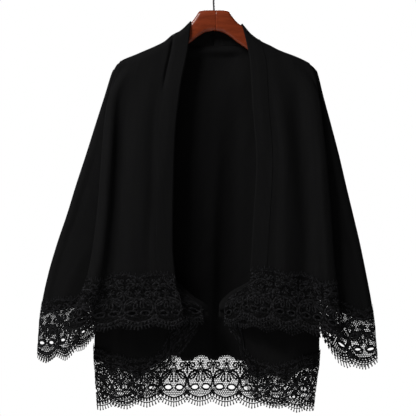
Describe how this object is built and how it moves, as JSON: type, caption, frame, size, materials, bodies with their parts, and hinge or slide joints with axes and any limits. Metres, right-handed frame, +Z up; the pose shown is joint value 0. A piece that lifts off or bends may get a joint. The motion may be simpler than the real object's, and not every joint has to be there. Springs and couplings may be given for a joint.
{
  "type": "open-front lace-trimmed shawl on a wooden clothes hanger",
  "caption": "Open-front draped shawl with wide sleeves and lace borders, hanging folded on a wooden hanger with a metal hook.",
  "frame": {"origin": "highest point inside the hook's curve, where a rail holds it", "axes": "+Z up the garment, -Y out of its front, +X to its left as worn"},
  "size_m": [0.6669, 0.1053, 0.8692],
  "materials": {
    "black_knit": "matte fine knit",
    "black_band_knit": "matte ribbed knit, doubled",
    "black_lace": "matte lace",
    "red_brown_wood": "glossy varnish",
    "bright_metal": "polished"
  },
  "bodies": {
    "root": {"back": "black_knit", "back_lace": "black_lace", "cuff_lace_left_back": "black_lace", "cuff_lace_left_front": "black_lace", "cuff_lace_right_back": "black_lace", "cuff_lace_right_front": "black_lace", "front_lace_left": "black_lace", "front_lace_right": "black_lace", "front_left": "black_knit", "front_right": "black_knit", "hanger_left": "red_brown_wood", "hanger_right": "red_brown_wood", "hook": "bright_metal", "neck_band_left": "black_band_knit", "neck_band_right": "black_band_knit", "sleeve_left": "black_knit", "sleeve_right": "black_knit"}
  },
  "joints": []
}
